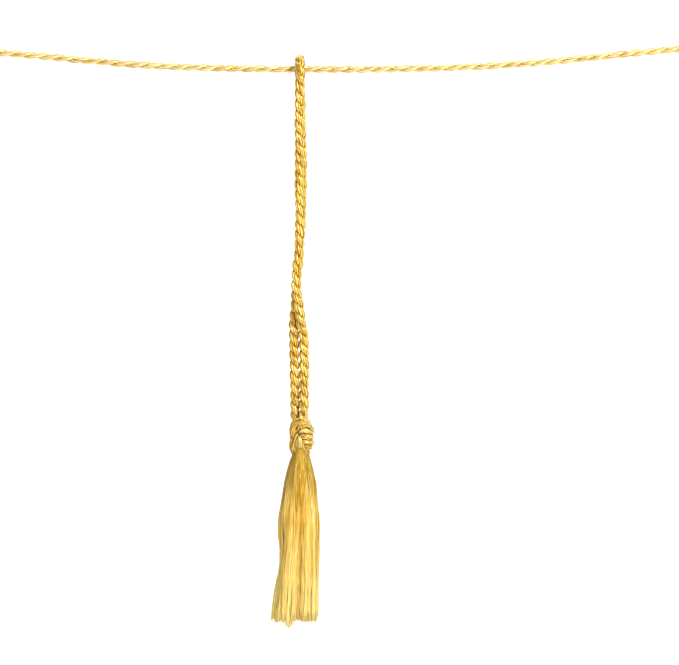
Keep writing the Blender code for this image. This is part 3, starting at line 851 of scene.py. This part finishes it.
def knot_front(draws, place):
    """The plies and strands on the knot's front, each with threads on its surface."""
    half_width, half_depth, half_height = KNOT_BODY
    plies = []
    threads = []
    for radius, pale, route in KNOT_FRONT:
        rows = even_rows(smooth_rows(route, KNOT_SMOOTHING), FRONT_STEP)
        path = []
        for x, depth, z in rows:
            bulge = 1.0 - (x / half_width) ** 2 - (z / half_height) ** 2
            y = depth - half_depth * math.sqrt(max(bulge, 0.0)) + radius
            path.append(place @ Vector((x, y, z)))
        last = len(path) - 1
        tapers = [min(1.0, 0.35 + 0.16 * min(i, last - i)) for i in range(len(path))]
        radii = [radius * taper for taper in tapers]
        # The tints follow how pale: painted shade on the knot's left, painted highlights on the
        # right.
        plies.append(Thread(path, radii, pale * 0.9, FRONT_PITCHES[0]))
        for _ in range(round(FRONT_THREADS * radius)):
            reach = radius * draws.uniform(0.78, 1.0)
            pitch = draws.uniform(*FRONT_PITCHES)
            wind = wound(path, reach, pitch, draws.uniform(0.0, math.tau))
            ends = [1.0 - 0.75 * max(0.0, 1.0 - min(i, last - i) / 4) for i in range(len(path))]
            thick = draws.uniform(*LOOSE_RADII)
            tint = min(1.0, max(0.0, pale + draws.uniform(-0.55, 0.45)))
            threads.append(Thread(wind, [thick * share for share in ends], tint))
    return plies, threads


def knot_threads(paths, ply_diameter, draws, place, loose):
    """Plies and surface threads of a knot, put in place by the matrix."""
    plies = []
    threads = []
    radius = ply_diameter / 2
    for path in paths:
        path = [place @ point for point in path]
        # The plies' low tints darken them: painted shade on the knot.
        plies.append(Thread(path, radius, draws.uniform(0.15, 0.4), ply_diameter * 12.0))
        for _ in range(loose):
            drift = draws.uniform(9.0, 16.0)
            reach = radius * draws.uniform(0.85, 1.02)
            wind = wound(path, reach, ply_diameter * drift, draws.uniform(0.0, math.tau))
            thick = draws.uniform(*LOOSE_KNOT_RADII) * ply_diameter / FULL_PLY
            threads.append(Thread(wind, thick, draws.random()))
    return plies, threads


def fringe_section(z):
    """The fringe's middle, half width and half depth at a height."""
    rows = FRINGE_SECTIONS
    for (z0, *upper), (z1, *lower) in zip(rows, rows[1:]):
        if z >= z1:
            share = min(max((z0 - z) / (z0 - z1), 0.0), 1.0)
            return [a + (b - a) * share for a, b in zip(upper, lower)]
    return rows[-1][1:]


def spiral_locks(count, cut_spread, draws):
    """Locks spread evenly over the fringe's section, each with its own cut, sway and tint."""
    locks = []
    for i in range(count):
        reach = math.sqrt((i + 0.5) / count)
        turn = i * GOLDEN_ANGLE
        locks.append(
            {
                "u": reach * math.cos(turn),
                "v": reach * math.sin(turn),
                "cut": draws.gauss(0.0, cut_spread),
                "seed": draws.uniform(0.0, 100.0),
                "tint": draws.uniform(*LOCK_TINTS),
            }
        )
    return locks


def nearest_lock(locks, u, v):
    return min(locks, key=lambda one: (one["u"] - u) ** 2 + (one["v"] - v) ** 2)


def side_lock_shift(u, v, z):
    """The lock that stands out on the fringe's left, the gap beside it and the waist below."""
    if u > SIDE_START:
        return 0.0
    share = min(1.0, (SIDE_START - u) / SIDE_BLEND)
    narrow = min((WAIST_TOP - z) / WAIST_FALL, (z - WAIST_FOOT) / WAIST_RISE)
    gap = GAP_WIDTH * math.exp(-(((z - GAP_Z) / GAP_SPAN) ** 2))
    if u < SIDE_LOCK_EDGE:
        gap *= LOCK_SHARE if v < SIDE_LOCK_BACK else BACK_SHARE
    return share * (WAIST_DEPTH * max(0.0, narrow) + gap)


def wander(seed, z, kind):
    """How far a thread or a lock with that seed has wandered at a height."""
    rate, layer, reach = kind
    return noise.noise_vector(Vector((seed, z * rate, layer))) * reach


def fringe_threads(sizes, draws):
    """The combed threads: each belongs to a small lock within a large one and wanders a little."""
    top = FRINGE_SECTIONS[0][0]
    foot = FRINGE_SECTIONS[-1][0]
    large = spiral_locks(sizes.locks // LOCKS_IN_BUNCH, BUNCH_CUT, draws)
    small = spiral_locks(sizes.locks, LOCK_CUT, draws)
    for lock in small:
        if (lock["u"] - TUFT_PLACE[0]) ** 2 + (lock["v"] - TUFT_PLACE[1]) ** 2 < TUFT_SIZE**2:
            lock["cut"] = -TUFT_DROP * draws.uniform(0.6, 1.1)
    threads = []
    for _ in range(sizes.threads):
        if draws.random() < INNER_SHARE:
            reach = math.sqrt(draws.random()) * INNER_REACH
        else:
            reach = math.sqrt(draws.uniform(*OUTER_REACHES_SQUARED))
        angle = draws.uniform(0.0, math.tau)
        u = reach * math.cos(angle)
        v = reach * math.sin(angle)
        lock = nearest_lock(small, u, v)
        bunch = nearest_lock(large, u, v)
        seed = draws.uniform(0.0, 100.0)
        loose = LOOSE_WANDER if draws.random() < LOOSE_SHARE else 1.0
        swerve = draws.gauss(0.0, SWERVE)
        own_cut = draws.gauss(0.0, sizes.uneven / MM * THREAD_CUT)
        end = foot + lock["cut"] + bunch["cut"] + own_cut
        points = []
        for z in THREAD_HEIGHTS + [end]:
            middle, half_width, half_depth = fringe_section(z)
            down = (top - z) / (top - foot)
            spread = min(1.0, down * SPREAD_RATE)
            pu, pv = [
                own + (lock[key] - own) * LOCK_PULL * spread
                + (bunch[key] - own) * BUNCH_PULL * spread
                for own, key in ((u, "u"), (v, "v"))
            ]
            turn = swerve * (1.0 - down) ** 2
            pu, pv = pu - pv * turn, pv + pu * turn
            sway = wander(bunch["seed"], z, BUNCH_WANDER) * down
            swing = wander(lock["seed"], z, LOCK_WANDER) * spread
            own = wander(seed, z, THREAD_WANDER) * loose * spread
            drift = sway + swing + own
            x = middle + half_width * pu + drift.x + side_lock_shift(u, v, z)
            y = half_depth * pv + drift.y
            points.append(Vector((x, y, z)) + TASSEL_PLACE)
        radius = sizes.thickness / MM / 2 * draws.uniform(0.7, 1.25)
        last = len(points) - 1
        radii = [radius * min(1.0, 0.55 + 0.06 * i) for i in range(last)] + [radius * 0.8]
        tint = THREAD_TINT + lock["tint"] + bunch["tint"] * BUNCH_TINT + draws.uniform(*OWN_TINTS)
        tint = min(max(tint, 0.0), 1.0)
        # Inner threads and those behind the side lock are darkened, painted shade; threads on the
        # left edge are paled, painted light.
        in_gap = u < SIDE_LOCK_EDGE and SIDE_LOCK_BACK <= v < GAP_BACK
        if reach < SURFACE_REACH or in_gap:
            tint *= SHADED_TINT
        elif u < PALE_EDGE:
            tint = min(1.0, tint + PALE_GAIN)
        threads.append(Thread(points, radii, tint))
    return threads


def hair(root, along, outward, length, draws):
    """A stray filament that leaves the surface, bends away and hangs a little."""
    points = []
    lean = draws.uniform(0.25, 0.9)
    curl = noise.random_unit_vector() * 0.35
    for i in range(HAIR_POINTS):
        t = i / (HAIR_POINTS - 1)
        drop = Vector((0.0, 0.0, -0.25)) * length * t * t
        swing = curl * length * t * t
        points.append(root + along * length * t + outward * length * lean * t * t + drop + swing)
    return points


def stray_threads(paths, radius, count, draws):
    """Stray filaments spread along the paths."""
    threads = []
    for _ in range(count):
        path = draws.choice(paths)
        i = draws.randrange(2, len(path) - 2)
        along = (path[i + 1] - path[i - 1]).normalized()
        if draws.random() < 0.5:
            along = -along
        side = along.orthogonal().normalized()
        angle = draws.uniform(0.0, math.tau)
        outward = Matrix.Rotation(angle, 3, along) @ side
        root = path[i] + outward * radius * 0.9
        length = draws.uniform(*STRAY_LENGTHS)
        points = hair(root, along, outward, length, draws)
        threads.append(Thread(points, draws.uniform(*STRAY_RADII), draws.random()))
    return threads


def smooth_line():
    return smooth_rows([(x, 0.0, z) for x, z in LINE_ROUTE], CORD_SMOOTHING)


def smooth_loop(step):
    rows = even_rows(smooth_rows(LOOP_ROUTE, CORD_SMOOTHING), step)
    return [row + TASSEL_PLACE for row in rows]


class TASSEL_OT_camera(bpy.types.Operator):
    """Place the camera straight in front, level with the middle of the view"""

    bl_idname = "tassel.camera"
    bl_label = "Camera"

    def execute(self, context):
        camera = bpy.data.cameras.new("camera")
        camera.sensor_fit = "HORIZONTAL"
        camera.lens = camera.sensor_width * VIEW_DISTANCE / VIEW_WIDTH
        camera.clip_start = 0.01
        camera.clip_end = 20.0
        stand = bpy.data.objects.new("camera", camera)
        stand.location = (Vector(VIEW_CENTRE) - Vector((0.0, VIEW_DISTANCE, 0.0))) * MM
        stand.rotation_euler = (math.radians(90), 0.0, 0.0)
        context.scene.collection.objects.link(stand)
        context.scene.camera = stand
        return {"FINISHED"}


class TASSEL_OT_line(bpy.types.Operator):
    """Build the taut line from its left knot to its right one"""

    bl_idname = "tassel.line"
    bl_label = "Line"

    def execute(self, context):
        sizes = context.scene.tassel_cords
        cord = (sizes.line_diameter / MM, sizes.line_pitch / MM)
        draws = random.Random(11)
        rows = smooth_line()
        reach_in = Vector((PIECE_GAP + LINE_END_COVER, 0.0, 0.0))
        rows = [rows[0] - reach_in] + rows + [rows[-1] + reach_in]
        points = even_rows(rows, cord[1] / LINE_TURN_POINTS)
        material = silk_material("line silk", fineness=1.4, relief=0.6, pale=0.5)
        line = cord_piece("line", points, cord, draws, material, "hanging_line")
        return {"FINISHED"}


class TASSEL_OT_line_eyes(bpy.types.Operator):
    """Build the knotted eyes that end the line"""

    bl_idname = "tassel.line_eyes"
    bl_label = "Line eyes"

    def execute(self, context):
        sizes = context.scene.tassel_cords
        cord = (sizes.line_diameter / MM, sizes.line_pitch / MM)
        scale = sizes.line_diameter / sizes.loop_diameter
        material = silk_material("eye silk", fineness=1.4, relief=0.6, pale=0.5)
        route = [(side, depth, -outward) for side, depth, outward in EYE_ROUTE]
        loop = even_rows(smooth_rows(route, CORD_SMOOTHING), cord[1] / LINE_TURN_POINTS)
        for name, end, inner, seed in (
            ("eye_left", LINE_ROUTE[0], LINE_ROUTE[1], 21),
            ("eye_right", LINE_ROUTE[-1], LINE_ROUTE[-2], 22),
        ):
            draws = random.Random(seed)
            stub_end = Vector(STUB_END) * scale + Vector((0.0, 0.0, PIECE_GAP))
            along = Vector((inner[0] - end[0], 0.0, inner[1] - end[1])).normalized()
            depth = Vector((0.0, 1.0, 0.0))
            turn = Matrix((depth.cross(along), depth, along)).transposed()
            middle = Vector((end[0], 0.0, end[1])) - turn @ stub_end
            place = Matrix.Translation(middle) @ turn.to_4x4()
            ply = sizes.knot_ply / MM * scale
            plies, threads = knot_threads(knot_plies(scale), ply, draws, place, loose=6)
            bow = [place @ point for point in loop]
            bow_plies, bow_threads = cord_threads(bow, *cord, draws, loose=7)
            meshes = silk_meshes(plies + bow_plies, threads + bow_threads, KNOT_YARNS, draws)
            make_piece(name, meshes, material, ["line_" + name], CREVICE_REACH)
        return {"FINISHED"}


class TASSEL_OT_loop(bpy.types.Operator):
    """Build the twisted hanging loop of the tassel"""

    bl_idname = "tassel.loop"
    bl_label = "Hanging loop"

    def execute(self, context):
        sizes = context.scene.tassel_cords
        draws = random.Random(5)
        cord = (sizes.loop_diameter / MM, sizes.loop_pitch / MM)
        points = smooth_loop(cord[1] / LOOP_TURN_POINTS)
        material = silk_material("loop silk", fineness=1.6, relief=0.7)
        loop = cord_piece(
            "loop", points, cord, draws, material, "hanging_loop", LOOP_PLY_RADIUS
        )
        return {"FINISHED"}


class TASSEL_OT_knot(bpy.types.Operator):
    """Build the tassel's knot from its loosened plies"""

    bl_idname = "tassel.knot"
    bl_label = "Knot"

    def execute(self, context):
        sizes = context.scene.tassel_cords
        draws = random.Random(3)
        middle = TASSEL_PLACE + Vector((0.0, 0.0, KNOT_MIDDLE_Z))
        place = Matrix.Translation(middle)
        material = silk_material("knot silk", fineness=1.6, relief=0.8)
        paths = knot_plies(KNOT_BASE_SCALE, spread=1.1)
        plies, threads = knot_threads(paths, sizes.knot_ply / MM, draws, place, loose=12)
        front_plies, front_threads = knot_front(draws, place)
        meshes = silk_meshes(plies + front_plies, threads + front_threads, KNOT_YARNS, draws)
        nodes = ["knot_and_fringe"]
        make_piece("knot", meshes, material, nodes, KNOT_CREVICE_REACH)
        return {"FINISHED"}


class TASSEL_OT_fringe(bpy.types.Operator):
    """Build the combed fringe below the knot"""

    bl_idname = "tassel.fringe"
    bl_label = "Fringe"

    def execute(self, context):
        draws = random.Random(9)
        noise.seed_set(NOISE_SEED)
        threads = fringe_threads(context.scene.tassel_fringe, draws)
        # The root shade paints the shade below the knot onto the tops of the threads.
        material = silk_material("fringe silk", fineness=0.7, relief=0.3, root_shade=0.9)
        for i, name in enumerate(("fringe_a", "fringe_b", "fringe_c")):
            mesh = sweep(threads[i::3], round_outline(4))
            make_piece(name, [mesh], material, [])
        return {"FINISHED"}


class TASSEL_OT_stray_fibres(bpy.types.Operator):
    """Add the stray filaments that stand off the cords and the knot"""

    bl_idname = "tassel.stray_fibres"
    bl_label = "Stray fibres"

    def execute(self, context):
        draws = random.Random(17)
        noise.seed_set(NOISE_SEED)
        middle = TASSEL_PLACE + Vector((0.0, 0.0, KNOT_MIDDLE_Z))
        knot = [[middle + point for point in path] for path in knot_plies(1.03)]
        sizes = context.scene.tassel_cords
        threads = []
        for paths, thickness, count in zip(
            ([smooth_loop(STRAY_STEP)], [even_rows(smooth_line(), STRAY_STEP)], knot),
            (sizes.loop_diameter, sizes.line_diameter, sizes.knot_ply),
            STRAYS,
        ):
            threads += stray_threads(paths, thickness / MM / 2, count, draws)
        material = silk_material("stray silk", fineness=0.7, relief=0.0)
        make_piece("stray_fibres", [sweep(threads, round_outline(3))], material, [])
        return {"FINISHED"}


class TASSEL_OT_stage(bpy.types.Operator):
    """Set up the plain floor, the backdrop and the soft studio light"""

    bl_idname = "tassel.stage"
    bl_label = "Studio"

    def execute(self, context):
        settings = context.scene.tassel_studio
        shape = bmesh.new()
        half = 4.0
        floor_z = -0.23
        bend = 0.5
        bend_steps = 8
        front_y = -3.0
        wall_y = 2.6
        wall_top = 4.0
        rows = [(front_y, floor_z), (wall_y - bend, floor_z)]
        for i in range(1, bend_steps + 1):
            angle = math.pi / 2 * i / bend_steps
            y = wall_y - bend + bend * math.sin(angle)
            rows.append((y, floor_z + bend * (1 - math.cos(angle))))
        rows.append((wall_y, wall_top))
        verts = [shape.verts.new((-half, y, z)) for y, z in rows]
        edges = [shape.edges.new(pair) for pair in zip(verts, verts[1:])]
        made = bmesh.ops.extrude_edge_only(shape, edges=edges)
        moved = [item for item in made["geom"] if isinstance(item, bmesh.types.BMVert)]
        bmesh.ops.translate(shape, vec=(2 * half, 0.0, 0.0), verts=moved)
        bmesh.ops.recalc_face_normals(shape, faces=shape.faces)
        mesh = bpy.data.meshes.new("studio_floor")
        shape.to_mesh(mesh)
        shape.free()
        mesh.shade_smooth()
        floor = bpy.data.objects.new("studio_floor", mesh)
        context.scene.collection.objects.link(floor)
        paper = bpy.data.materials.new("studio paper")
        paper.use_nodes = True
        shader = paper.node_tree.nodes["Principled BSDF"]
        shader.inputs["Base Color"].default_value = settings.floor
        shader.inputs["Roughness"].default_value = 0.9
        mesh.materials.append(paper)
        middle = Vector(VIEW_CENTRE) * MM
        wall = Vector((0.1, wall_y, -0.05))
        for name, power, colour, size, place, target in (
            ("key_lamp", settings.key, WHITE, 0.3, (0.55, -0.80, 0.30), middle),
            ("fill_lamp", settings.fill, WARM, 0.8, (-0.6, -0.8, 0.1), middle),
            ("backdrop_lamp", settings.backdrop, WHITE, 2.0, (0.1, 1.2, 2.0), wall),
        ):
            lamp = bpy.data.lights.new(name, "AREA")
            lamp.color = colour
            lamp.energy = power
            lamp.size = size
            stand = bpy.data.objects.new(name, lamp)
            stand.location = place
            aim = target - Vector(place)
            stand.rotation_euler = aim.to_track_quat("-Z", "Y").to_euler()
            context.scene.collection.objects.link(stand)
        world = bpy.data.worlds.new("studio")
        world.use_nodes = True
        sky = world.node_tree.nodes["Background"]
        sky.inputs["Color"].default_value = (1.0, 0.95, 0.86, 1.0)
        sky.inputs["Strength"].default_value = 0.3
        context.scene.world = world
        context.scene.view_settings.view_transform = "Standard"
        return {"FINISHED"}


OPERATORS = (
    TASSEL_OT_camera,
    TASSEL_OT_line_eyes,
    TASSEL_OT_line,
    TASSEL_OT_loop,
    TASSEL_OT_knot,
    TASSEL_OT_fringe,
    TASSEL_OT_stray_fibres,
    TASSEL_OT_stage,
)


class TASSEL_PT_panel(bpy.types.Panel):
    """The tassel's pieces, in the order in which they are built"""

    bl_idname = "TASSEL_PT_panel"
    bl_label = "Silk Tassel"
    bl_space_type = "VIEW_3D"
    bl_region_type = "UI"
    bl_category = "Tassel"

    def draw(self, context):
        for operator in OPERATORS:
            self.layout.operator(operator.bl_idname)


SETTINGS = (
    ("tassel_cords", CordSizes),
    ("tassel_fringe", FringeSizes),
    ("tassel_silk", SilkColours),
    ("tassel_studio", StudioSettings),
)


def register():
    for name, group in SETTINGS:
        bpy.utils.register_class(group)
        setattr(bpy.types.Scene, name, bpy.props.PointerProperty(type=group))
    for operator in OPERATORS:
        bpy.utils.register_class(operator)
    bpy.utils.register_class(TASSEL_PT_panel)


def unregister():
    bpy.utils.unregister_class(TASSEL_PT_panel)
    for operator in reversed(OPERATORS):
        bpy.utils.unregister_class(operator)
    for name, group in reversed(SETTINGS):
        delattr(bpy.types.Scene, name)
        bpy.utils.unregister_class(group)


def main():
    register()
    bpy.ops.tassel.camera()
    bpy.ops.tassel.line_eyes()
    bpy.ops.tassel.line()
    bpy.ops.tassel.loop()
    bpy.ops.tassel.knot()
    bpy.ops.tassel.fringe()
    bpy.ops.tassel.stray_fibres()
    bpy.ops.tassel.stage()


if __name__ == "__main__":
    main()
